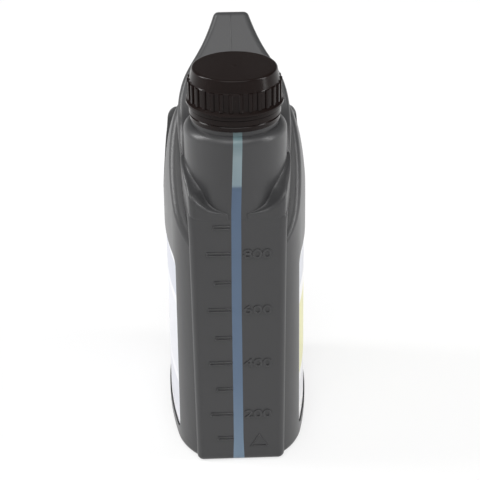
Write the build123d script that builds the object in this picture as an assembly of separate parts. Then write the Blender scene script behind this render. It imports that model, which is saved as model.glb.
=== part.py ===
from build123d import *
import math
import os

# Driving dimensions in millimetres and degrees.
# The bottle stands on z = 0. Its pouring side faces -Y and its handle side +Y.

# Whole body
body_depth = 108.0
body_half_width = 37.6
body_draw_in = 1.4
side_bow_radius = 220.0
wall = 1.2
front_y = -body_depth / 2
rear_y = body_depth / 2
body_top_half_width = body_half_width - body_draw_in

# Front panel with its rounded corners, and the curves of the plan outline
panel_half_width = 22.8
panel_foot_half_width = 22.1
panel_corner_radius = 4.0
flank_overlap = 1.3
flank_depth = 21.0
flank_side_y = front_y + flank_depth
widest_y = 15.0
rear_corner_depth = 18.0
rear_side_y = rear_y - rear_corner_depth

# Foot
foot_radius = 3.2
foot_ring_width = 9.0
foot_rise = 1.5

# Shoulder pads beside the spine: they end on a slope that climbs to the rear
straight_top_z = 128.0
shoulder_run_in = (126.5,)
shoulder_turns = (0, 3, 7, 12, 18, 26, 34, 41, 48, 54, 60, 65, 70, 74, 78)
pad_top_z = 177.0
pad_top_half_width = 25.0
pad_slope_start_depth = 9.0
pad_slope_start_y = front_y + pad_slope_start_depth
pad_slope_start_z = 131.0
pad_slope_angle = 43.5
pad_edge_radius = 4.0
pad_fall_low_z = 141.0
pad_fall_angle = 36.0

# Spine: the narrow band that climbs from the panel past the neck to the handle
spine_low_z = 100.0
ledge_z = 145.0
ledge_depth = 10.0
ledge_edge_radius = 5.0
ledge_back_y = front_y + ledge_depth
spine_face_depth = 27.0
spine_face_y = front_y + spine_face_depth
spine_face_z = 164.0
spine_half_width = 27.0
spine_edge_radius = 3.2
spine_inner_edge_radius = 1.5
handle_back_edge_radius = 3.0
ledge_hollow = 3.4
climb_bulge = 0.8

# Handle
handle_foot_depth = 48.5
handle_foot_y = front_y + handle_foot_depth
handle_foot_z = 181.0
handle_top_depth = 28.0
handle_top_y = rear_y - handle_top_depth
handle_top_z = 213.5
handle_top_half_width = 8.6
handle_top_lean = 0.3
handle_back_z = 180.0
handle_back_bulge = 7.0
handle_back_step = 0.6
handle_corner_radius = 16.0
handle_corner_margin = 3.0

# Half width of panel, climb and handle at distances along the handle's slope from its foot
spine_half_widths = (
    (-74.0, panel_half_width),
    (-27.0, spine_half_width - 0.9),
    (-4.0, spine_half_width),
    (12.5, 23.6),
    (27.9, 15.4),
    (45.3, handle_top_half_width),
)

# Finger gap through the handle
gap_low_depth = 40.0
gap_low_y = rear_y - gap_low_depth
gap_low_z = 147.0
gap_high_depth = 33.0
gap_high_y = rear_y - gap_high_depth
gap_high_z = 173.0
gap_radius = 12.0
gap_draft = 10.0

# Neck column and the threaded finish above it
column_radius = 24.0
neck_y = front_y + column_radius
column_top_z = 180.5
column_edge_radius = 3.6
collar_radius = 20.3
finish_radius = 17.9
bore_radius = 15.8
mouth_z = 203.5
bead_z = 184.6
bead_height = 1.6
bead_radius = 20.1

# Screw cap
running_gap = 0.3
liner_thickness = 1.2
cap_crown_thickness = 1.8
cap_crown_radius = 19.4
cap_crown_bore_radius = 18.3
cap_crown_edge_radius = 1.0
cap_shoulder_z = 201.2
cap_root_radius = 20.9
cap_flute_radius = 21.7
cap_flute_count = 30
cap_flute_half_width = 1.0
cap_flange_radius = 22.5
cap_flange_top_z = 192.6
cap_flange_low_z = 190.6
cap_low_z = 188.5
cap_skirt_radius = 21.4
cap_bore_radius = 19.6
cap_bore_step_z = 200.0

# Tamper band that stays on the neck
band_low_z = 183.0
band_radius = 21.2
band_bore_radius = 20.5
band_groove_z = 185.4
band_groove_height = 0.8
band_groove_depth = 0.35

# Sight strip through the front wall: its left and right edge at each height
strip_course = (
    (-1.0, -4.0, 1.9),
    (14.0, -3.5, 1.4),
    (97.0, -3.4, 1.3),
    (145.0, -2.9, 1.6),
    (181.0, -1.5, 2.6),
    (mouth_z + 1.0, -1.4, 2.7),
)
strip_foot_depth = 34.0
strip_foot_end_y = front_y + strip_foot_depth

# Labels in their recesses
label_low_z = 8.0
label_high_z = 111.0
label_front_margin = 17.5
label_rear_margin = 12.0
label_front_y = front_y + label_front_margin
label_rear_y = rear_y - label_rear_margin
label_corner_radius = 5.0
label_recess = 1.0
label_thickness = 0.2
label_margin = 0.6
label_clearance = 0.05

# Filling
oil_level_z = 157.5

# Far enough to pass right through the body
beyond = 60.0

# Underside of the cap's crown, with the liner pressed on the mouth, and the cap's top
crown_low_z = mouth_z + running_gap + liner_thickness
cap_top_z = crown_low_z + cap_crown_thickness

# Change of half width with height on the straight part of the body
side_taper = (body_top_half_width - body_half_width) / straight_top_z


def mirrored(point):
    return Vector(-point.X, point.Y, point.Z)


def plan_outline(z, half_width, inset=0.0):
    """Closed plan outline of the body at height z, moved inwards by inset.

    Each side is one long arc that runs tangent into a rear corner arc and a flank arc.
    The front edge lies just inside the front panel, which the spine forms.
    """
    rear = rear_y - inset
    side = half_width - inset
    flank_sine = (flank_side_y - widest_y) / side_bow_radius
    heel_sine = (rear_side_y - widest_y) / side_bow_radius
    flank_cosine = math.sqrt(1 - flank_sine ** 2)
    heel_cosine = math.sqrt(1 - heel_sine ** 2)
    bow = side - side_bow_radius
    flank = Vector(bow + side_bow_radius * flank_cosine, flank_side_y, z)
    heel = Vector(bow + side_bow_radius * heel_cosine, rear_side_y, z)
    rear_radius = (rear - rear_side_y) / (1 - heel_sine)
    rear_start = Vector(heel.X - rear_radius * heel_cosine, rear, z)
    front_edge = front_y + inset + panel_corner_radius - flank_overlap
    front = Vector(panel_foot_half_width - inset - flank_overlap, front_edge, z)

    edges = [Edge.make_line(mirrored(front), front)]
    edges.append(Edge.make_tangent_arc(flank, Vector(flank_sine, -flank_cosine, 0), front))
    edges.append(Edge.make_three_point_arc(flank, Vector(side, widest_y, z), heel))
    edges.append(Edge.make_tangent_arc(heel, Vector(-heel_sine, heel_cosine, 0), rear_start))
    edges.append(Edge.make_line(rear_start, mirrored(rear_start)))
    edges.append(Edge.make_tangent_arc(mirrored(heel), Vector(heel_sine, heel_cosine, 0), mirrored(rear_start)))
    edges.append(Edge.make_three_point_arc(mirrored(heel), Vector(-side, widest_y, z), mirrored(flank)))
    edges.append(Edge.make_tangent_arc(mirrored(flank), Vector(-flank_sine, -flank_cosine, 0), mirrored(front)))
    return Wire(edges)


def plan_prism(low_z, high_z, inset=0.0):
    """The plan outline from low_z to high_z, tapered like the body."""
    low = plan_outline(low_z, body_half_width + side_taper * low_z, inset)
    high = plan_outline(high_z, body_half_width + side_taper * high_z, inset)
    return Part() + Solid.make_loft([low, high], ruled=True)


def shoulder_block(inset=0.0):
    """Upper body, which closes inwards along a quarter of an ellipse above straight_top_z."""
    last = math.radians(shoulder_turns[-1])
    rise = (pad_top_z - straight_top_z - inset) / math.sin(last)
    draw_in = (body_top_half_width - pad_top_half_width) / (1 - math.cos(last))
    levels = [plan_outline(z, body_half_width + side_taper * z, inset) for z in shoulder_run_in]
    for turn in shoulder_turns:
        angle = math.radians(turn)
        z = straight_top_z + rise * math.sin(angle)
        half = body_top_half_width - draw_in * (1 - math.cos(angle))
        levels.append(plan_outline(z, half, inset))
    return Part() + Solid.make_loft(levels)


def side_shape(outline, half_width=beyond):
    """An outline given as (y, z) edges, carried through the body along X."""
    face = Pos(-half_width, 0, 0) * make_face(outline)
    return extrude(face, amount=2 * half_width, dir=(1, 0, 0))


def pad_slope_shape(inset=0.0):
    """Everything below the slope on which the shoulder pads end."""
    lower = inset / math.cos(math.radians(pad_slope_angle))
    rise = math.tan(math.radians(pad_slope_angle))
    front = (0, -beyond, pad_slope_start_z - lower + rise * (-beyond - pad_slope_start_y))
    rear = (0, beyond, pad_slope_start_z - lower + rise * (beyond - pad_slope_start_y))
    points = [front, rear, (0, beyond, -1), (0, -beyond, -1)]
    return side_shape(Polyline(*points, close=True))


def pad_fall_shape(inset=0.0):
    """Everything below the plane in which the pads fall away to the rear, under the handle."""
    lower = inset / math.cos(math.radians(pad_fall_angle))
    rise = math.tan(math.radians(pad_fall_angle))
    front = (0, -beyond, pad_fall_low_z - lower + rise * (rear_y + beyond))
    rear = (0, beyond, pad_fall_low_z - lower + rise * (rear_y - beyond))
    points = [front, rear, (0, beyond, -1), (0, -beyond, -1)]
    return side_shape(Polyline(*points, close=True))


def spine_side_shape(inset=0.0):
    """Side view of the spine and handle: panel, ledge, climb past the neck, slope, top and back."""
    front = front_y + inset
    rear = rear_y - handle_back_step - inset
    ledge = ledge_z - inset
    back = Vector(0, ledge_back_y + inset, ledge)
    climb = Vector(0, spine_face_y + inset, spine_face_z - inset)
    foot = Vector(0, handle_foot_y + inset, handle_foot_z - inset)
    crest = Vector(0, handle_top_y, handle_top_z - inset)
    heel = Vector(0, rear, handle_back_z)
    outwards = Vector(0, 1, 1) * math.sqrt(0.5)
    edge = ledge_edge_radius - inset
    edge_middle = Vector(0, front + edge, ledge - edge) + Vector(0, -1, 1) * math.sqrt(0.5) * edge
    crest_middle = (crest + heel) * 0.5 + outwards * handle_back_bulge
    ledge_middle = (back + climb) * 0.5 + Vector(0, 1, -1) * math.sqrt(0.5) * ledge_hollow
    climb_middle = (climb + foot) * 0.5 + Vector(0, -1, 1) * math.sqrt(0.5) * climb_bulge
    outline = [
        Line((0, front, inset), (0, front, ledge - edge)),
        ThreePointArc((0, front, ledge - edge), edge_middle, (0, front + edge, ledge)),
        Line((0, front + edge, ledge), back),
        Spline(back, ledge_middle, climb, climb_middle, foot, tangents=[(0, 1, 0), crest - foot]),
        Line(foot, crest),
        ThreePointArc(crest, crest_middle, heel),
        Line(heel, (0, rear, spine_low_z)),
        Line((0, rear, spine_low_z), (0, neck_y, spine_low_z)),
        Line((0, neck_y, spine_low_z), (0, neck_y, inset)),
        Line((0, neck_y, inset), (0, front, inset)),
    ]
    return side_shape(Curve() + outline)


def spine_plan_shape(inset=0.0):
    """Plan view of the spine, with its rear corners well rounded."""
    half = spine_half_width + handle_corner_margin - inset
    rear = rear_y - handle_back_step - inset
    outline = Polyline((half, -beyond), (half, rear), (-half, rear), (-half, -beyond), close=True)
    face = make_face(outline)
    corners = [vertex for vertex in face.vertices() if vertex.Y > 0]
    return extrude(fillet(corners, handle_corner_radius - inset), amount=handle_top_z + 5)


def spine_outline_shape(inset=0.0):
    """Outline of panel, climb and handle in the plane of the handle's slope, carried squarely through.

    Each step is a distance along the slope from the handle's foot, with the half width there.
    """
    lean = math.atan2(handle_top_z - handle_foot_z, handle_top_y - handle_foot_y)
    normal = (0, -math.sin(lean), math.cos(lean))
    plane = Plane((0, handle_foot_y, handle_foot_z), x_dir=(1, 0, 0), z_dir=normal).offset(-beyond * 3)
    climb = [(half - inset, step) for step, half in spine_half_widths]
    foot = (panel_foot_half_width - inset, -beyond * 4)
    tangents = [(climb[0][0] - foot[0], climb[0][1] - foot[1]), (-handle_top_lean, 1)]
    top = (climb[-1][0] - handle_top_lean * beyond / 4, climb[-1][1] + beyond / 4)
    right = Curve() + [Line(foot, climb[0]), Spline(*climb, tangents=tangents), Line(climb[-1], top)]
    ends = [Line((-foot[0], foot[1]), foot), Line((-top[0], top[1]), top)]
    face = make_face(plane * (right + mirror(right, Plane.YZ) + ends))
    return extrude(face, amount=beyond * 6)


def finger_gap(inset=0.0):
    """Slanted slot through the handle, drafted open from the middle plane to both sides."""
    lean = math.degrees(math.atan2(gap_high_z - gap_low_z, gap_high_y - gap_low_y))
    length = math.hypot(gap_high_z - gap_low_z, gap_high_y - gap_low_y) + 2 * (gap_radius + inset)
    middle = (0, (gap_low_y + gap_high_y) / 2, (gap_low_z + gap_high_z) / 2)
    half = None
    for side in (1, -1):
        plane = Plane(middle, x_dir=(0, 1, 0), z_dir=(side, 0, 0))
        slot = plane * (Rot(0, 0, side * lean) * SlotOverall(length, 2 * (gap_radius + inset)))
        flare = extrude(slot, amount=45, taper=-gap_draft)
        half = flare if half is None else half + flare
    return half


def edges_near(solid, test):
    """The solid's edges whose middle point passes the test."""
    return [edge for edge in solid.edges() if test(edge @ 0.5)]


def pads(inset=0.0):
    """Main body up to the shoulder pads, with its foot and the pads' front edges rounded."""
    block = (plan_prism(inset, shoulder_run_in[0], inset) + shoulder_block(inset)) & pad_slope_shape(inset)
    block = block & pad_fall_shape(inset)
    rise = math.tan(math.radians(pad_slope_angle))

    def on_slope(point):
        slope_z = pad_slope_start_z + rise * (point.Y - pad_slope_start_y)
        return abs(point.X) > panel_half_width + 2 and abs(point.Z - slope_z) < 2.5 and point.Z < pad_top_z - 2

    foot = edges_near(block, lambda point: point.Z < inset + 0.01)
    block = fillet(foot, foot_radius - inset)
    return fillet(edges_near(block, on_slope), pad_edge_radius - inset)


def spine(inset=0.0):
    """Front panel, spine and handle in one band, with its outer edges rounded."""
    band = spine_side_shape(inset) & spine_outline_shape(inset) & spine_plan_shape(inset)
    edge_radius = spine_inner_edge_radius if inset else spine_edge_radius

    def on_rim(point):
        on_front = point.Y < neck_y - wall or point.Z > spine_face_z - wall * 2
        above_foot = point.Z > inset + wall and point.Y < handle_top_y
        return on_front and above_foot and abs(point.X) > handle_top_half_width

    def on_foot(point):
        return point.Z < inset + 0.01 and point.Y < neck_y - 0.01

    band = fillet(edges_near(band, on_rim), edge_radius)
    band = fillet(edges_near(band, on_foot), foot_radius - inset)
    if inset:
        return band
    back = edges_near(band, lambda point: point.Z > ledge_z + 5 and point.Y > handle_top_y)
    return fillet(back, handle_back_edge_radius)


def column(inset=0.0):
    """Round neck column whose front lies flush with the front panel."""
    top = column_top_z - inset
    low = ledge_z - 30
    shaft = Pos(0, neck_y, (top + low) / 2) * Cylinder(column_radius - inset, top - low)
    rim = edges_near(shaft, lambda point: point.Z > top - 0.1)
    return fillet(rim, column_edge_radius) if inset == 0 else shaft


def finish():
    """Collar, threaded finish and the bead that holds the tamper band, without the bore."""
    height = mouth_z - column_top_z
    tube = Pos(0, neck_y, column_top_z + height / 2) * Cylinder(finish_radius, height)
    collar_height = band_low_z - running_gap - column_top_z
    collar = Pos(0, neck_y, column_top_z + collar_height / 2) * Cylinder(collar_radius, collar_height)
    bead = Pos(0, neck_y, bead_z) * Cylinder(bead_radius, bead_height)
    bead = chamfer(edges_near(bead, lambda point: point.Z > bead_z), bead_height * 0.4)
    mouth = edges_near(tube, lambda point: point.Z > mouth_z - 0.1)
    return fillet(mouth, 0.8) + collar + bead


def bore():
    low = column_top_z - wall - 1
    height = mouth_z + 1 - low
    return Pos(0, neck_y, low + height / 2) * Cylinder(bore_radius, height)


def label_window(margin=0.0):
    """Rounded window in side view through which the label recess is cut."""
    width = label_rear_y - label_front_y - 2 * margin
    height = label_high_z - label_low_z - 2 * margin
    middle = (0, (label_rear_y + label_front_y) / 2, (label_high_z + label_low_z) / 2)
    plane = Plane(middle, x_dir=(0, 1, 0), z_dir=(1, 0, 0))
    return extrude(plane * RectangleRounded(width, height, label_corner_radius), amount=beyond, both=True)


def label_layer(outer_inset, inner_inset, margin=0.0):
    """The layer of the body wall between two depths inside the label window."""
    outer = plan_prism(0, straight_top_z, outer_inset)
    inner = plan_prism(0, straight_top_z, inner_inset)
    return (outer - inner) & label_window(margin)


def foot_hollow():
    """Shallow hollow under the base, which leaves a ring to stand on."""
    return plan_prism(-1, foot_rise, foot_ring_width)


outer_form = pads() + spine() + column()
outer_form = outer_form - finger_gap() - foot_hollow()
cavity = pads(wall) + spine(wall) + column(wall)
cavity = cavity - finger_gap(wall) - Pos(0, 0, foot_rise / 2) * Box(beyond * 2, beyond * 2, foot_rise + 2 * wall)


def strip_path():
    """Upright slab that takes the sight strip out of the front wall, foot and neck."""
    left = [(left_x, -beyond, z) for z, left_x, right_x in strip_course]
    right = [(right_x, -beyond, z) for z, left_x, right_x in strip_course]
    face = make_face(Polyline(*left, *reversed(right), close=True))
    return extrude(face, amount=beyond + strip_foot_end_y, dir=(0, 1, 0))


def screw_cap():
    """Cap with a smooth crown, fluted skirt and flange, hollow below its crown."""
    profile = [
        (0, cap_top_z),
        (cap_crown_radius, cap_top_z),
        (cap_root_radius - 0.3, cap_shoulder_z),
        (cap_root_radius, cap_shoulder_z - 0.5),
        (cap_root_radius, cap_flange_top_z),
        (cap_flange_radius, cap_flange_low_z + 0.9),
        (cap_flange_radius, cap_flange_low_z),
        (cap_skirt_radius, cap_flange_low_z - 0.7),
        (cap_skirt_radius, cap_low_z),
        (cap_bore_radius, cap_low_z),
        (cap_bore_radius, cap_bore_step_z),
        (cap_crown_bore_radius, cap_bore_step_z + cap_bore_radius - cap_crown_bore_radius),
        (cap_crown_bore_radius, crown_low_z),
        (0, crown_low_z),
    ]
    face = make_face(Polyline(*[(radius, 0, z) for radius, z in profile], close=True))
    body = revolve(face, Axis.Z)
    body = fillet(edges_near(body, lambda point: point.Z > cap_top_z - 0.1), cap_crown_edge_radius)
    flute_height = cap_shoulder_z - cap_flange_top_z
    flute_depth = cap_flute_radius - cap_root_radius + 0.6
    flute = Pos(cap_flute_radius - flute_depth / 2, 0, cap_flange_top_z + flute_height / 2 - 0.2)
    flute = flute * Box(flute_depth, 2 * cap_flute_half_width, flute_height)
    crest = edges_near(flute, lambda point: point.X > cap_flute_radius - 0.1 and abs(point.Y) > 0.1)
    flute = chamfer(crest, 0.45)
    step = 360 / cap_flute_count
    flutes = [Rot(0, 0, index * step) * flute for index in range(cap_flute_count)]
    return Pos(0, neck_y, 0) * (body + flutes)


def cap_liner():
    """Sealing wad against the crown, just above the mouth."""
    radius = cap_crown_bore_radius - running_gap
    return Pos(0, neck_y, crown_low_z - liner_thickness / 2) * Cylinder(radius, liner_thickness)


def tamper_band():
    """Ring under the cap with a groove round it."""
    top = cap_low_z - running_gap
    profile = [
        (band_bore_radius, top),
        (band_radius, top),
        (band_radius, band_groove_z + band_groove_height / 2),
        (band_radius - band_groove_depth, band_groove_z),
        (band_radius, band_groove_z - band_groove_height / 2),
        (band_radius - 0.3, band_low_z),
        (band_bore_radius, band_low_z),
    ]
    face = make_face(Polyline(*[(radius, 0, z) for radius, z in profile], close=True))
    return Pos(0, neck_y, 0) * revolve(face, Axis.Z)


recess = label_layer(-1.0, label_recess)
cavity = cavity - label_layer(0, label_recess + wall, -wall)
label_floor = label_recess - label_clearance
labels = label_layer(label_floor - label_thickness, label_floor, label_margin)
shell = outer_form + finish() - cavity - bore() - recess
sight_strip = shell & strip_path()
bottle = shell - strip_path()
oil_box = Pos(0, 0, oil_level_z / 2) * Box(beyond * 2, beyond * 2, oil_level_z)
pieces = {
    "bottle": bottle,
    "sight_strip": sight_strip,
    "cap": screw_cap(),
    "cap_liner": cap_liner(),
    "tamper_band": tamper_band(),
    "label_left": labels & Pos(-beyond, 0, 0) * Box(beyond * 2, beyond * 4, beyond * 8),
    "label_right": labels & Pos(beyond, 0, 0) * Box(beyond * 2, beyond * 4, beyond * 8),
    "oil": cavity & oil_box,
}
os.makedirs("parts", exist_ok=True)
for name, piece in pieces.items():
    export_step(piece, f"parts/{name}.step")
    print(name, len(piece.solids()), round(piece.volume), piece.is_valid)
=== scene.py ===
import math

import bmesh
import bpy
import numpy as np
from mathutils import Matrix, Vector


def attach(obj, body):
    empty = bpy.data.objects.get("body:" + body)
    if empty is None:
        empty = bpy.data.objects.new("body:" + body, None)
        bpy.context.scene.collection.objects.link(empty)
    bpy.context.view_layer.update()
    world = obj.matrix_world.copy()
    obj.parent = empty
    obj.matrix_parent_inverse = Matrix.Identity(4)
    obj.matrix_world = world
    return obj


# Lengths are millimetres in the row frame, turned to metres when a mesh is made.
MM = 0.001

# Camera at the photograph's viewing angle
CAMERA_PLACE = (-11.8, -539.3, 396.7)
CAMERA_YAW = -2.52
CAMERA_PITCH = 29.03
CAMERA_ROLL = -0.24
CAMERA_LENS = 89.43
CAMERA_SENSOR = 36.0
CAMERA_SHIFT = (-0.0388, 0.0109)
CAMERA_CLIP = (0.01, 20.0)

# Floor and world, in metres
FLOOR_REACH = 10.0
FLOOR_EDGE_HEIGHT = 2.4
FLOOR_STEPS = 96
FLOOR_WHITE_SHARE = 0.7
WORLD_BRIGHT_SIDE = (-0.25, -0.55, 0.8)
WORLD_FALL = 4.0
WORLD_DIM = 0.08
WORLD_BRIGHT = 1.0

# Lamps: name, place, aim and size in metres, then watts
SOFTBOXES = (
    ("key_softbox", (-1.0, 0.1, 0.75), (0, 0, 0.12), (0.28, 1.0), 10),
    ("top_softbox", (0, -0.46, 0.97), (0, 0, 0.2), (0.9, 0.5), 3.2),
    ("fill_softbox", (1.0, -0.2, 0.6), (0, 0, 0.1), (0.2, 1.0), 6),
)

# Bottle
FRONT_Y = -54.0
NECK_Y = -30.0
NECK_RADIUS = 17.9
COLUMN_RADIUS = 24.0

# Thread on the neck, right-handed, sunk a little into the wall that carries it
THREAD_LOW_Z = 190.5
THREAD_PITCH = 4.0
THREAD_TURNS = 2.0
THREAD_WIDTH = 2.0
THREAD_RELIEF = 0.9
THREAD_SUNK = 0.1
THREAD_FADE_ANGLE = 0.5
THREAD_STEPS_PER_TURN = 48

# Gate mark in the middle of the cap, as (radius, height over the cap's top)
CAP_TOP_Z = 206.8
GATE_PROFILE = ((0.05, -0.3), (0.05, 0.05), (0.7, 0.08), (1.1, 0.3), (1.5, 0.02), (1.6, -0.3))

# Parting line on the handle's slope: (y, z) of the slope's foot and crest, and the share that the line takes
SLOPE_FOOT = (-5.5, 181.0)
SLOPE_CREST = (26.0, 213.5)
PARTING_SPAN = (0.04, 0.97)
PARTING_X = -0.4
PARTING_WIDTH = 0.45
PARTING_RELIEF = 0.18
PARTING_SUNK = 0.03
PARTING_SECTIONS = 40

# Rim that climbs from the panel's top edge to the column's flank, on the +X side, and its wall's foot
SADDLE_RIM = (
    (4.4, -53.95, 143.6), (8.0, -54.0, 144.2), (12.0, -54.0, 145.1), (15.5, -54.0, 146.5),
    (18.3, -54.0, 148.4), (20.4, -53.8, 150.4), (22.1, -52.5, 152.6), (23.0, -49.8, 154.4),
    (23.8, -46.0, 156.2), (24.8, -41.0, 158.6), (25.5, -35.5, 160.8), (25.9, -30.0, 162.2),
    (25.4, -26.0, 162.0), (23.6, -22.5, 159.0),
)
SADDLE_FOOT_Z = (
    138.5, 138.5, 138.5, 138.5, 138.5, 138.5, 138.5, 138.5, 138.5, 140.0, 144.0, 149.0, 153.0, 153.0,
)
SADDLE_SECTIONS = 61
SADDLE_HOLLOW_POINTS = 11
SADDLE_EDGE_POINTS = 7
SADDLE_EDGE_RADIUS = 1.9
SADDLE_EDGE_SHARE = 0.45
SADDLE_RISE = 1.2
SADDLE_RISE_REACH = 3.0
SADDLE_FADE_SHARE = 0.3
SADDLE_OVERLAP = 0.05
SADDLE_FOOT_INSET = 0.3
SADDLE_BURIED_DEPTHS = (2.0, 0.4)
SADDLE_BURIED_RISE = 1.0

# Shoulder behind the finger gap, turned about the centre of the body's rear corner
SHOULDER_TURNS = (4.0, 80.0)
SHOULDER_SECTIONS = 41
SHOULDER_WALL_POINTS = 8
SHOULDER_EDGE_POINTS = 9
SHOULDER_CORNER_RADIUS = 19.9
SHOULDER_CENTRE_Y = 34.1
SHOULDER_CENTRE_TO_SIDE = 20.81
SHOULDER_PROUD = 0.03
SHOULDER_TOP_Z = (162.0, 143.5)
SHOULDER_FALL_POWER = 1.15
SHOULDER_EDGE_RADIUS = 5.0
SHOULDER_FOOT_Z = 134.0
SHOULDER_FOOT_INSET = 0.5
SHOULDER_FOOT_POWER = 6
SHOULDER_START_SHARE = 0.22
SHOULDER_START_DIP = 2.2
SHOULDER_START_INSET = 0.4
SHOULDER_INNER_X = 13.0
SHOULDER_INNER_BEHIND = 1.5
SHOULDER_INNER_RISE = 1.2

# Half width at the top of the body's straight sides, and the quarter ellipse on which they close from there
BODY_HALF_WIDTH = 36.2
CLOSING_START_Z = 128.0
CLOSING_HEIGHT = 50.1
CLOSING_DRAW_IN = 9.0

# Colour fields on the labels: middle y, half length, middle z, half height, colour
LEFT_LABEL_FIELDS = (
    (2.7, 36.0, 97.0, 9.0, "#c4c7d2"),
    (2.7, 36.0, 62.0, 21.0, "#dadbe1"),
    (2.7, 36.0, 24.5, 11.0, "#cfd0d8"),
)
RIGHT_LABEL_FIELDS = (
    (4.0, 36.0, 59.5, 21.0, "#dcd997"),
    (4.0, 36.0, 98.0, 8.0, "#cdd0d8"),
    (4.0, 36.0, 26.0, 7.0, "#dddde2"),
)

# Colour of the sight strip at each height: blue-grey before the oil, paler above its level
OIL_LEVEL_Z = 157.5
STRIP_TOP_Z = 200.0
STRIP_COLOURS = (
    (0.0, "#70869a"), (50.0, "#566b84"), (OIL_LEVEL_Z - 2.4, "#4a5f79"), (OIL_LEVEL_Z - 0.6, "#465b74"),
    (OIL_LEVEL_Z + 0.6, "#7e9199"), (172.0, "#829399"), (181.0, "#5d7377"),
)

# Graduations beside the sight strip, one every 100 ml
MARK_HEIGHTS = (14.8, 30.0, 45.4, 61.1, 75.8, 91.9, 107.0, 122.7, 136.8)
MARK_STEP_ML = 100
MARK_RIGHT_X = -3.6
LONG_MARK_X = -14.6
SHORT_MARK_X = -11.4
MARK_WIDTH = 1.6
TRIANGLE_CORNERS = ((5.4, 9.6), (13.6, 9.6), (9.5, 16.7))
BEAD_WIDTH = 0.6
BEAD_RELIEF = 0.55
BEAD_SUNK = 0.05

# Numbers beside the even graduations: text set at one type size, then drawn out to its width and height
NUMERALS = ((200, 30.0), (400, 61.1), (600, 91.9), (800, 122.7))
NUMERAL_LEFT_X = 2.2
NUMERAL_HEIGHT = 4.8
NUMERAL_WIDTH = 13.6
NUMERAL_TYPE_SIZE = 7.0
NUMERAL_HALF_THICKNESS = 0.4
NUMERAL_BEVEL = 0.12

# Points across the half round of each bead, rib and line
HALF_ROUND_POINTS = 7

# Sizes of the soft unevenness in the plastics and the film
MOTTLE_SIZE = 24.0
RIPPLE_SIZE = 7.0
RIPPLE_DEPTH = 0.1

# Colour sockets of a Mix node, by number because its other sockets have the same names
MIX_COLOUR_A = 6
MIX_COLOUR_B = 7
MIX_COLOUR_RESULT = 2


def linear(hex_colour):
    """An sRGB hex colour as linear RGBA."""
    parts = [int(hex_colour[i:i + 2], 16) / 255 for i in (1, 3, 5)]
    values = [c / 12.92 if c <= 0.04045 else ((c + 0.055) / 1.055) ** 2.4 for c in parts]
    return (*values, 1.0)


def add_node(tree, kind, settings=None, links=None, attributes=None):
    """Adds one node, sets its sockets and attributes, and links other nodes' outputs into it."""
    node = tree.nodes.new(kind)
    for name, value in (attributes or {}).items():
        setattr(node, name, value)
    for socket, value in (settings or {}).items():
        node.inputs[socket].default_value = value
    for socket, output in (links or {}).items():
        tree.links.new(output, node.inputs[socket])
    return node


def new_material(name):
    """An empty node material with its output node."""
    material = bpy.data.materials.new(name)
    material.use_nodes = True
    tree = material.node_tree
    tree.nodes.clear()
    output = tree.nodes.new("ShaderNodeOutputMaterial")
    return material, tree, output


def moulded_plastic(name, colour, roughness, grain_size, grain_depth, mottling=0.04, gloss=0.5):
    """Opaque moulded plastic: its colour, a roughness that wanders a little, and a fine skin grain."""
    material, tree, output = new_material(name)
    place = add_node(tree, "ShaderNodeTexCoord").outputs["Object"]
    fine = add_node(
        tree, "ShaderNodeTexNoise",
        {"Scale": 1 / (grain_size * MM), "Detail": 3.0, "Roughness": 0.6},
        {"Vector": place},
    )
    broad = add_node(
        tree, "ShaderNodeTexNoise",
        {"Scale": 1 / (MOTTLE_SIZE * MM), "Detail": 2.0},
        {"Vector": place},
    )
    spread = add_node(
        tree, "ShaderNodeMapRange",
        {"To Min": roughness - mottling, "To Max": roughness + mottling},
        {"Value": broad.outputs["Fac"]},
    )
    bump = add_node(
        tree, "ShaderNodeBump",
        {"Strength": 0.25, "Distance": grain_depth * MM},
        {"Height": fine.outputs["Fac"]},
    )
    shader = add_node(
        tree, "ShaderNodeBsdfPrincipled",
        {"Base Color": linear(colour), "IOR": 1.5, "Specular IOR Level": gloss},
        {"Roughness": spread.outputs["Result"], "Normal": bump.outputs["Normal"]},
    )
    tree.links.new(shader.outputs["BSDF"], output.inputs["Surface"])
    return material


def sight_strip_plastic():
    """Natural polyethylene, cloudy and unpigmented: oil behind it darkens it up to the filling level."""
    material, tree, output = new_material("natural_hdpe_strip")
    place = add_node(tree, "ShaderNodeTexCoord").outputs["Object"]
    height = add_node(tree, "ShaderNodeSeparateXYZ", links={"Vector": place}).outputs["Z"]
    share = add_node(
        tree, "ShaderNodeMapRange",
        {"From Min": 0.0, "From Max": STRIP_TOP_Z * MM},
        {"Value": height},
    )
    ramp = add_node(tree, "ShaderNodeValToRGB", links={"Fac": share.outputs["Result"]})
    stops = ramp.color_ramp.elements
    stops.remove(stops[1])
    stops[0].color = linear(STRIP_COLOURS[0][1])
    for stop_z, colour in STRIP_COLOURS[1:]:
        stops.new(stop_z / STRIP_TOP_Z).color = linear(colour)
    shader = add_node(
        tree, "ShaderNodeBsdfPrincipled",
        {"Roughness": 0.38, "IOR": 1.54, "Subsurface Weight": 0.15, "Subsurface Radius": [2 * MM] * 3},
        {"Base Color": ramp.outputs["Color"]},
    )
    tree.links.new(shader.outputs["BSDF"], output.inputs["Surface"])
    return material


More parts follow.
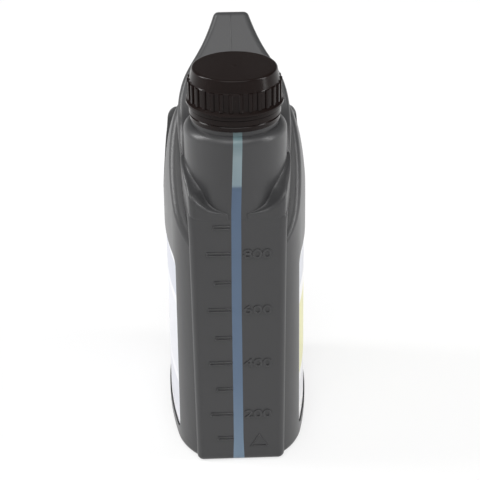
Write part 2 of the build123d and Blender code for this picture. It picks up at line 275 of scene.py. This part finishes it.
def label_film(name, ground, fields):
    """Glossy printed polypropylene film: a ground colour with plain rectangles of colour in side view.

    Each field is (middle y, half length, middle z, half height, colour).
    """
    material, tree, output = new_material(name)
    place = add_node(tree, "ShaderNodeTexCoord").outputs["Object"]
    axes = add_node(tree, "ShaderNodeSeparateXYZ", links={"Vector": place}).outputs
    colour = add_node(tree, "ShaderNodeRGB").outputs["Color"]
    colour.default_value = linear(ground)
    for middle_y, half_y, middle_z, half_z, field_colour in fields:
        along = add_node(
            tree, "ShaderNodeMath",
            {1: middle_y * MM, 2: half_y * MM},
            {0: axes["Y"]},
            {"operation": "COMPARE"},
        )
        up = add_node(
            tree, "ShaderNodeMath",
            {1: middle_z * MM, 2: half_z * MM},
            {0: axes["Z"]},
            {"operation": "COMPARE"},
        )
        inside = add_node(
            tree, "ShaderNodeMath",
            links={0: along.outputs["Value"], 1: up.outputs["Value"]},
            attributes={"operation": "MULTIPLY"},
        )
        mixed = add_node(
            tree, "ShaderNodeMix",
            {MIX_COLOUR_B: linear(field_colour)},
            {"Factor": inside.outputs["Value"], MIX_COLOUR_A: colour},
            {"data_type": "RGBA"},
        )
        colour = mixed.outputs[MIX_COLOUR_RESULT]
    ripple = add_node(
        tree, "ShaderNodeTexNoise",
        {"Scale": 1 / (RIPPLE_SIZE * MM), "Detail": 1.0},
        {"Vector": place},
    )
    bump = add_node(
        tree, "ShaderNodeBump",
        {"Strength": 0.2, "Distance": RIPPLE_DEPTH * MM},
        {"Height": ripple.outputs["Fac"]},
    )
    shader = add_node(
        tree, "ShaderNodeBsdfPrincipled",
        {"Roughness": 0.3, "IOR": 1.49},
        {"Base Color": colour, "Normal": bump.outputs["Normal"]},
    )
    tree.links.new(shader.outputs["BSDF"], output.inputs["Surface"])
    return material


def clear_oil():
    """Clear amber mineral oil."""
    material, tree, output = new_material("mineral_gear_oil")
    shader = add_node(
        tree, "ShaderNodeBsdfPrincipled",
        {"Base Color": linear("#c8902a"), "Roughness": 0.03, "IOR": 1.48, "Transmission Weight": 0.85},
    )
    tree.links.new(shader.outputs["BSDF"], output.inputs["Surface"])
    return material


def matt_white_floor():
    """Matt white floor that camera, mirrors and glass see lifted towards white, with the shadow kept."""
    material, tree, output = new_material("matt_white_floor")
    path = add_node(tree, "ShaderNodeLightPath")
    mirrored = add_node(
        tree, "ShaderNodeMath",
        links={0: path.outputs["Is Glossy Ray"], 1: path.outputs["Is Transmission Ray"]},
        attributes={"operation": "MAXIMUM"},
    )
    seen = add_node(
        tree, "ShaderNodeMath",
        links={0: path.outputs["Is Camera Ray"], 1: mirrored.outputs["Value"]},
        attributes={"operation": "MAXIMUM"},
    )
    share = add_node(
        tree, "ShaderNodeMath",
        {1: FLOOR_WHITE_SHARE},
        {0: seen.outputs["Value"]},
        {"operation": "MULTIPLY"},
    )
    matt = add_node(tree, "ShaderNodeBsdfDiffuse", {"Color": linear("#f2f2f2"), "Roughness": 0.9})
    white = add_node(tree, "ShaderNodeEmission", {"Color": linear("#ffffff"), "Strength": 1.0})
    mixed = add_node(
        tree, "ShaderNodeMixShader",
        links={0: share.outputs["Value"], 1: matt.outputs["BSDF"], 2: white.outputs["Emission"]},
    )
    tree.links.new(mixed.outputs["Shader"], output.inputs["Surface"])
    return material


def mesh_piece(name, points, faces, material, body):
    """A smooth mesh in millimetres as a piece that rides on a body, its faces turned outwards."""
    mesh = bpy.data.meshes.new(name)
    mesh.from_pydata((np.asarray(points, float) * MM).tolist(), [], [list(face) for face in faces])
    skin = bmesh.new()
    skin.from_mesh(mesh)
    bmesh.ops.recalc_face_normals(skin, faces=skin.faces)
    skin.to_mesh(mesh)
    skin.free()
    mesh.materials.append(material)
    mesh.update()
    mesh.shade_smooth()
    piece = bpy.data.objects.new(name, mesh)
    bpy.context.scene.collection.objects.link(piece)
    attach(piece, body)


def ring_faces(shape):
    """Faces of a grid of rows and columns that closes on itself both ways."""
    index = np.arange(shape[0] * shape[1]).reshape(shape)
    onward = np.roll(index, -1, axis=0)
    quads = np.stack([index, onward, np.roll(onward, -1, axis=1), np.roll(index, -1, axis=1)], axis=-1)
    return quads.reshape(-1, 4).tolist()


def closed_loft(sections):
    """Points and faces of a skin over a stack of closed sections, closed at both ends."""
    stack, ring = sections.shape[:2]
    index = np.arange(stack * ring).reshape(stack, ring)
    onward = np.roll(index, -1, axis=1)
    quads = np.stack([index[:-1], index[1:], onward[1:], onward[:-1]], axis=-1).reshape(-1, 4)
    return sections.reshape(-1, 3), quads.tolist() + [index[0].tolist(), index[-1].tolist()]


def raised_bead(corners, closed):
    """Points and faces of a raised bead on the front panel, through (x, z) corners.

    With t from 0 to a half turn, a section lies BEAD_WIDTH / 2 * cos t beside the line and stands
    BEAD_RELIEF * sin t off the panel. At a corner it is turned to the bisector of the two runs and
    lengthened to keep its width.
    """
    line = np.asarray(corners, float)
    run = np.diff(np.vstack([line, line[:1]]) if closed else line, axis=0)
    run = run / np.linalg.norm(run, axis=1)[:, None]
    side = np.stack([-run[:, 1], run[:, 0]], axis=-1)
    before = np.roll(side, 1, axis=0) if closed else np.vstack([side[:1], side])
    after = side if closed else np.vstack([side, side[-1:]])
    mitre = before + after
    mitre = mitre / (1 + np.sum(before * after, axis=1))[:, None]
    turn = np.linspace(0, math.pi, HALF_ROUND_POINTS)
    across = np.cos(turn) * BEAD_WIDTH / 2
    x = line[:, :1] + mitre[:, :1] * across
    z = line[:, 1:] + mitre[:, 1:] * across
    y = np.broadcast_to(FRONT_Y + BEAD_SUNK - (BEAD_RELIEF + BEAD_SUNK) * np.sin(turn), x.shape)
    sections = np.stack([x, y, z], axis=-1)
    if not closed:
        return closed_loft(sections)
    return sections.reshape(-1, 3), ring_faces(x.shape)


def smooth_course(points, count):
    """Points spread evenly by number along a curve through the given points.

    Between neighbours the curve is a cubic. Its slope at each point is half the step between the two points
    beside it.
    """
    points = np.asarray(points, float)
    before = np.vstack([2 * points[0] - points[1], points[:-1]])
    after = np.vstack([points[1:], 2 * points[-1] - points[-2]])
    slope = (after - before) / 2
    place = np.linspace(0, len(points) - 1, count)
    start = np.minimum(place.astype(int), len(points) - 2)
    t = (place - start)[:, None]
    return (
        (2 * t ** 3 - 3 * t ** 2 + 1) * points[start] + (t ** 3 - 2 * t ** 2 + t) * slope[start]
        + (3 * t ** 2 - 2 * t ** 3) * points[start + 1] + (t ** 3 - t ** 2) * slope[start + 1]
    )


def ledge_saddle(side):
    """Points and faces of the soft rim that climbs from the panel's top edge to the flank of the column.

    Each section stands upright on a line out from the column's axis. With u from 0 to 1 across the band
    between column and rim, its hollow lies rise * (1 - sqrt(1 - (1 - u) ** 2)) above the rim. A quarter
    round turns it over the rim into a wall, which goes down to the foot. The rise is
    SADDLE_RISE * (1 - exp(-band / SADDLE_RISE_REACH)) and fades out over the last stretch of the rim.
    """
    rim = smooth_course(SADDLE_RIM, SADDLE_SECTIONS)
    foot_z = smooth_course([(low,) for low in SADDLE_FOOT_Z], SADDLE_SECTIONS)
    out = rim[:, :2] - np.array([0, NECK_Y])
    reach = np.linalg.norm(out, axis=1)[:, None]
    out = out / reach
    rim_z = rim[:, 2:]
    band = reach - COLUMN_RADIUS
    radius = np.minimum(SADDLE_EDGE_RADIUS, SADDLE_EDGE_SHARE * band)
    fade = np.clip(np.linspace(1, 0, SADDLE_SECTIONS) / SADDLE_FADE_SHARE, 0, 1)[:, None]
    rise = SADDLE_RISE * (1 - np.exp(-band / SADDLE_RISE_REACH)) * fade
    across = 1 - np.cos(np.linspace(0, math.pi / 2, SADDLE_HOLLOW_POINTS))[None, :]
    hollow_reach = COLUMN_RADIUS - SADDLE_OVERLAP + across * (band - radius + SADDLE_OVERLAP)
    hollow_z = rim_z + rise * (1 - np.sqrt(1 - (1 - across) ** 2))
    turn = np.linspace(math.pi / 2, 0, SADDLE_EDGE_POINTS)[None, 1:]
    round_reach = reach - radius + radius * np.cos(turn)
    round_z = rim_z - radius + radius * np.sin(turn)
    deep, shallow = (np.full_like(reach, COLUMN_RADIUS - depth) for depth in SADDLE_BURIED_DEPTHS)
    buried_z = rim_z + rise + SADDLE_BURIED_RISE * fade
    wall_middle_z = (rim_z - radius + foot_z) / 2
    foot_reach = reach - SADDLE_FOOT_INSET
    section_reach = np.hstack([deep, shallow, hollow_reach, round_reach, reach, foot_reach, deep])
    section_z = np.hstack([buried_z, buried_z, hollow_z, round_z, wall_middle_z, foot_z, foot_z])
    x = side * section_reach * out[:, :1]
    y = NECK_Y + section_reach * out[:, 1:]
    return closed_loft(np.stack([x, y, section_z], axis=-1))


def rear_shoulder(side):
    """Points and faces of the rounded shoulder behind the finger gap.

    Sections turn about the centre of the rear corner, and their top falls with a power of the share of the
    turn. Each goes up the wall and over a quarter round to the top. Its half width is BODY_HALF_WIDTH -
    CLOSING_DRAW_IN * (1 - sqrt(1 - s ** 2)), with s the share of the closing height, as on the body itself.
    The wall draws in towards its foot, and over the first stretch of the turn, to run into the body.
    """
    turn = np.radians(np.linspace(*SHOULDER_TURNS, SHOULDER_SECTIONS))[:, None]
    share = np.linspace(0, 1, SHOULDER_SECTIONS)[:, None]
    start = 1 - np.clip(share / SHOULDER_START_SHARE, 0, 1)
    high, low = SHOULDER_TOP_Z
    top_z = high + (low - high) * share ** SHOULDER_FALL_POWER - SHOULDER_START_DIP * start ** 2
    quarter = np.linspace(0, math.pi / 2, SHOULDER_EDGE_POINTS)[1:]
    wall_share = np.linspace(0, 1, SHOULDER_WALL_POINTS)
    radius = SHOULDER_EDGE_RADIUS
    wall_z = SHOULDER_FOOT_Z + (top_z - radius - SHOULDER_FOOT_Z) * wall_share
    round_z = top_z - radius + radius * np.sin(quarter)
    level = np.hstack([wall_z, round_z])
    wall_inset = SHOULDER_FOOT_INSET * (1 - wall_share) ** SHOULDER_FOOT_POWER
    inset = np.concatenate([wall_inset, radius * (1 - np.cos(quarter))])
    closing = (level - CLOSING_START_Z) / CLOSING_HEIGHT
    half_width = BODY_HALF_WIDTH - CLOSING_DRAW_IN * (1 - np.sqrt(1 - closing ** 2))
    reach = SHOULDER_CORNER_RADIUS + SHOULDER_PROUD - inset - SHOULDER_START_INSET * start
    x = half_width - SHOULDER_CENTRE_TO_SIDE + reach * np.cos(turn)
    y = SHOULDER_CENTRE_Y + reach * np.sin(turn)
    inner_x = np.full_like(top_z, SHOULDER_INNER_X)
    inner_y = np.full_like(top_z, SHOULDER_CENTRE_Y + SHOULDER_INNER_BEHIND)
    foot_z = np.full_like(top_z, SHOULDER_FOOT_Z)
    x = np.hstack([x, inner_x, inner_x])
    y = np.hstack([y, inner_y, inner_y])
    z = np.hstack([level, top_z + SHOULDER_INNER_RISE, foot_z])
    return closed_loft(np.stack([side * x, y, z], axis=-1))


def add_soft_forms(material):
    """The soft rims beside the neck and the rounded rear shoulders, all one skin with the bottle."""
    for side, word in ((1, "right"), (-1, "left")):
        for form, surface in (("ledge_rim", ledge_saddle), ("rear_shoulder", rear_shoulder)):
            points, faces = surface(side)
            mesh_piece(f"{form}_{word}", points, faces, material, "bottle_body")


def place_camera():
    """Camera looking down at the front, turned by yaw, pitch and roll."""
    yaw, pitch, roll = (math.radians(a) for a in (CAMERA_YAW, CAMERA_PITCH, CAMERA_ROLL))
    ahead = Vector((-math.sin(yaw) * math.cos(pitch), math.cos(yaw) * math.cos(pitch), -math.sin(pitch)))
    level_right = Vector((math.cos(yaw), math.sin(yaw), 0))
    level_up = level_right.cross(ahead)
    right = math.cos(roll) * level_right + math.sin(roll) * level_up
    up = -math.sin(roll) * level_right + math.cos(roll) * level_up
    data = bpy.data.cameras.new("camera")
    data.sensor_width = CAMERA_SENSOR
    data.lens = CAMERA_LENS
    data.shift_x, data.shift_y = CAMERA_SHIFT
    data.clip_start, data.clip_end = CAMERA_CLIP
    camera = bpy.data.objects.new("camera", data)
    turned = Matrix((right, up, -ahead)).transposed().to_4x4()
    camera.matrix_world = Matrix.Translation(Vector(CAMERA_PLACE) * MM) @ turned
    bpy.context.scene.collection.objects.link(camera)
    bpy.context.scene.camera = camera


def add_softbox(name, place, aim, size, watts):
    """A rectangular area lamp at place, aimed at a point, both in metres."""
    data = bpy.data.lights.new(name, "AREA")
    data.shape = "RECTANGLE"
    data.size, data.size_y = size
    data.energy = watts
    lamp = bpy.data.objects.new(name, data)
    lamp.location = place
    lamp.rotation_euler = (Vector(aim) - Vector(place)).to_track_quat("-Z", "Y").to_euler()
    bpy.context.scene.collection.objects.link(lamp)


def light_world():
    """Soft studio surround: bright overhead in front, dim low behind.

    With f the cosine between a direction and WORLD_BRIGHT_SIDE, brought to 0..1, the strength is
    dim + (bright - dim) * f ** WORLD_FALL.
    """
    world = bpy.data.worlds.new("studio")
    bpy.context.scene.world = world
    world.use_nodes = True
    tree = world.node_tree
    tree.nodes.clear()
    output = tree.nodes.new("ShaderNodeOutputWorld")
    direction = add_node(tree, "ShaderNodeTexCoord").outputs["Generated"]
    cosine = add_node(
        tree, "ShaderNodeVectorMath",
        {1: Vector(WORLD_BRIGHT_SIDE).normalized()},
        {0: direction},
        {"operation": "DOT_PRODUCT"},
    )
    share = add_node(
        tree, "ShaderNodeMapRange",
        {"From Min": -1.0, "From Max": 1.0},
        {"Value": cosine.outputs["Value"]},
    )
    fall = add_node(
        tree, "ShaderNodeMath",
        {1: WORLD_FALL},
        {0: share.outputs["Result"]},
        {"operation": "POWER"},
    )
    strength = add_node(
        tree, "ShaderNodeMapRange",
        {"To Min": WORLD_DIM, "To Max": WORLD_BRIGHT},
        {"Value": fall.outputs["Value"]},
    )
    light = add_node(
        tree, "ShaderNodeBackground",
        {"Color": linear("#ffffff")},
        {"Strength": strength.outputs["Result"]},
    )
    tree.links.new(light.outputs["Background"], output.inputs["Surface"])


def lay_floor():
    """Wide pale round floor with a low upright edge far off: a ring of points on the ground, one above."""
    turn = np.linspace(0, 2 * math.pi, FLOOR_STEPS, endpoint=False)
    x, y = FLOOR_REACH * np.cos(turn), FLOOR_REACH * np.sin(turn)
    ground = np.stack([x, y, np.zeros(FLOOR_STEPS)], axis=-1)
    edge = np.stack([x, y, np.full(FLOOR_STEPS, FLOOR_EDGE_HEIGHT)], axis=-1)
    low = np.arange(FLOOR_STEPS)
    onward = np.roll(low, -1)
    wall = np.stack([low, low + FLOOR_STEPS, onward + FLOOR_STEPS, onward], axis=-1)
    mesh = bpy.data.meshes.new("floor")
    mesh.from_pydata(np.vstack([ground, edge]).tolist(), [], [low.tolist()] + wall.tolist())
    mesh.materials.append(matt_white_floor())
    floor = bpy.data.objects.new("floor", mesh)
    bpy.context.scene.collection.objects.link(floor)


def paint(node, material):
    """Gives a CAD node its material and slot."""
    node.data.materials.clear()
    node.data.materials.append(material)


def add_marks(material):
    """Raised graduation outlines left of the sight strip, long ones at the even hundreds, and a triangle."""
    for number, height in enumerate(MARK_HEIGHTS, start=1):
        left = LONG_MARK_X if number % 2 == 0 else SHORT_MARK_X
        high, low = height + MARK_WIDTH / 2, height - MARK_WIDTH / 2
        outline = ((MARK_RIGHT_X, high), (left, high), (left, low), (MARK_RIGHT_X, low))
        points, faces = raised_bead(outline, closed=False)
        name = f"mark_{number * MARK_STEP_ML}_ml"
        mesh_piece(name, points, faces, material, "bottle_body")
    points, faces = raised_bead(TRIANGLE_CORNERS, closed=True)
    mesh_piece("panel_triangle", points, faces, material, "bottle_body")


def revolved(profile, centre_y, steps=48):
    """Points and faces of a closed (radius, z) profile turned about the upright line at centre_y."""
    profile = np.asarray(profile, float)
    turn = np.linspace(0, 2 * math.pi, steps, endpoint=False)[:, None]
    x = profile[:, 0] * np.cos(turn)
    y = centre_y + profile[:, 0] * np.sin(turn)
    z = np.broadcast_to(profile[:, 1], x.shape)
    return np.stack([x, y, z], axis=-1).reshape(-1, 3), ring_faces(x.shape)


def add_cap_gate(material):
    """Mark of the moulding gate in the middle of the cap: a small crater with a raised lip."""
    profile = [(radius, CAP_TOP_Z + height) for radius, height in GATE_PROFILE]
    points, faces = revolved(profile, NECK_Y)
    mesh_piece("cap_gate_mark", points, faces, material, "cap_body")


def add_neck_thread(material):
    """Single-start thread on the neck: a rounded rib up a helix, faded into the wall at both ends.

    With a the turn up the helix and t from 0 to a half turn across the rib, the rib stands
    THREAD_RELIEF * fade * sin t off the neck, THREAD_PITCH * a / full turn + THREAD_WIDTH / 2 * cos t over
    the height where it starts.
    """
    steps = int(THREAD_STEPS_PER_TURN * THREAD_TURNS)
    turn = np.linspace(0, 2 * math.pi * THREAD_TURNS, steps)[:, None]
    across = np.linspace(0, math.pi, HALF_ROUND_POINTS)[None, :]
    fade = np.clip(np.minimum(turn, turn[-1] - turn) / THREAD_FADE_ANGLE, 0, 1)
    radius = NECK_RADIUS - THREAD_SUNK + (THREAD_RELIEF + THREAD_SUNK) * fade * np.sin(across)
    x = radius * np.sin(turn)
    y = NECK_Y - radius * np.cos(turn)
    z = THREAD_LOW_Z + THREAD_PITCH * turn / (2 * math.pi) + THREAD_WIDTH / 2 * np.cos(across)
    points, faces = closed_loft(np.stack([x, y, z], axis=-1))
    mesh_piece("neck_thread", points, faces, material, "bottle_body")


def add_parting_line(material):
    """Fine bead where the two halves of the mould met, down the middle of the handle's slope.

    Each section is a flat half round: PARTING_WIDTH / 2 * cos t across the slope and PARTING_RELIEF * sin t
    off it.
    """
    along = np.linspace(*PARTING_SPAN, PARTING_SECTIONS)[:, None]
    turn = np.linspace(0, math.pi, HALF_ROUND_POINTS)[None, :]
    foot, crest = np.array(SLOPE_FOOT), np.array(SLOPE_CREST)
    climb = (crest - foot) / np.linalg.norm(crest - foot)
    middle = foot + (crest - foot) * along
    lift = PARTING_RELIEF * np.sin(turn) - PARTING_SUNK
    y = middle[:, :1] - climb[1] * lift
    z = middle[:, 1:] + climb[0] * lift
    x = np.broadcast_to(PARTING_X + PARTING_WIDTH / 2 * np.cos(turn), y.shape)
    points, faces = closed_loft(np.stack([x, y, z], axis=-1))
    mesh_piece("parting_line", points, faces, material, "bottle_body")


def add_numerals(material):
    """Raised graduation numbers right of the sight strip, from text set flat and stood up on the panel."""
    for number, height in NUMERALS:
        curve = bpy.data.curves.new(f"numeral_{number}", "FONT")
        curve.body = str(number)
        curve.size = NUMERAL_TYPE_SIZE
        curve.extrude = NUMERAL_HALF_THICKNESS
        curve.bevel_depth = NUMERAL_BEVEL
        curve.bevel_resolution = 1
        text = bpy.data.objects.new(f"numeral_{number}_curve", curve)
        bpy.context.scene.collection.objects.link(text)
        graph = bpy.context.evaluated_depsgraph_get()
        mesh = bpy.data.meshes.new_from_object(text.evaluated_get(graph))
        bpy.data.objects.remove(text)
        flat = np.array([vertex.co for vertex in mesh.vertices])
        low, high = flat.min(0), flat.max(0)
        wide, tall = NUMERAL_WIDTH / (high[0] - low[0]), NUMERAL_HEIGHT / (high[1] - low[1])
        x = NUMERAL_LEFT_X + (flat[:, 0] - low[0]) * wide
        z = height - NUMERAL_HEIGHT / 2 + (flat[:, 1] - low[1]) * tall
        y = FRONT_Y - flat[:, 2]
        mesh.vertices.foreach_set("co", (np.stack([x, y, z], axis=-1) * MM).ravel())
        mesh.materials.clear()
        mesh.materials.append(material)
        mesh.update()
        piece = bpy.data.objects.new(f"numeral_{number}", mesh)
        bpy.context.scene.collection.objects.link(piece)
        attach(piece, "bottle_body")


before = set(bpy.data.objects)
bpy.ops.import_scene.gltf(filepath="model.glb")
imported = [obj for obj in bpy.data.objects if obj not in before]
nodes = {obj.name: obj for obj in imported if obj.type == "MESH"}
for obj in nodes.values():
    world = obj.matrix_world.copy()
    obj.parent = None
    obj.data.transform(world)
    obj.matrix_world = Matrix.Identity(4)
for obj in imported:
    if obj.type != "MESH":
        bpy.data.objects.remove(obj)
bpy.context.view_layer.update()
bpy.context.scene.view_settings.view_transform = "Standard"

# Blow-moulded high-density polyethylene, black pigmented: a satin skin that takes wide soft reflections
BLACK_HDPE = moulded_plastic(
    "black_hdpe", "#3d3d3e", roughness=0.33, grain_size=0.9, grain_depth=0.02, mottling=0.03, gloss=0.4,
)
# Injection-moulded polypropylene, brown-black: a polished mould leaves it glossier than the bottle
BLACK_PP = moulded_plastic(
    "black_polypropylene", "#160d0b", roughness=0.2, grain_size=0.6, grain_depth=0.008, gloss=0.16,
)
# Expanded polyethylene foam: matt and white
WHITE_FOAM = moulded_plastic("white_pe_foam", "#ececea", roughness=0.85, grain_size=0.5, grain_depth=0.05)

paint(nodes["bottle"], BLACK_HDPE)
paint(nodes["sight_strip"], sight_strip_plastic())
paint(nodes["tamper_band"], BLACK_PP)
paint(nodes["cap"], BLACK_PP)
paint(nodes["cap_liner"], WHITE_FOAM)
paint(nodes["label_left"], label_film("printed_pp_film_left", "#e6e6ea", LEFT_LABEL_FIELDS))
paint(nodes["label_right"], label_film("printed_pp_film_right", "#ececec", RIGHT_LABEL_FIELDS))
paint(nodes["oil"], clear_oil())

add_soft_forms(BLACK_HDPE)
add_marks(BLACK_HDPE)
add_numerals(BLACK_HDPE)
add_neck_thread(BLACK_HDPE)
add_parting_line(BLACK_HDPE)
add_cap_gate(BLACK_PP)

lay_floor()
light_world()
for softbox in SOFTBOXES:
    add_softbox(*softbox)
place_camera()
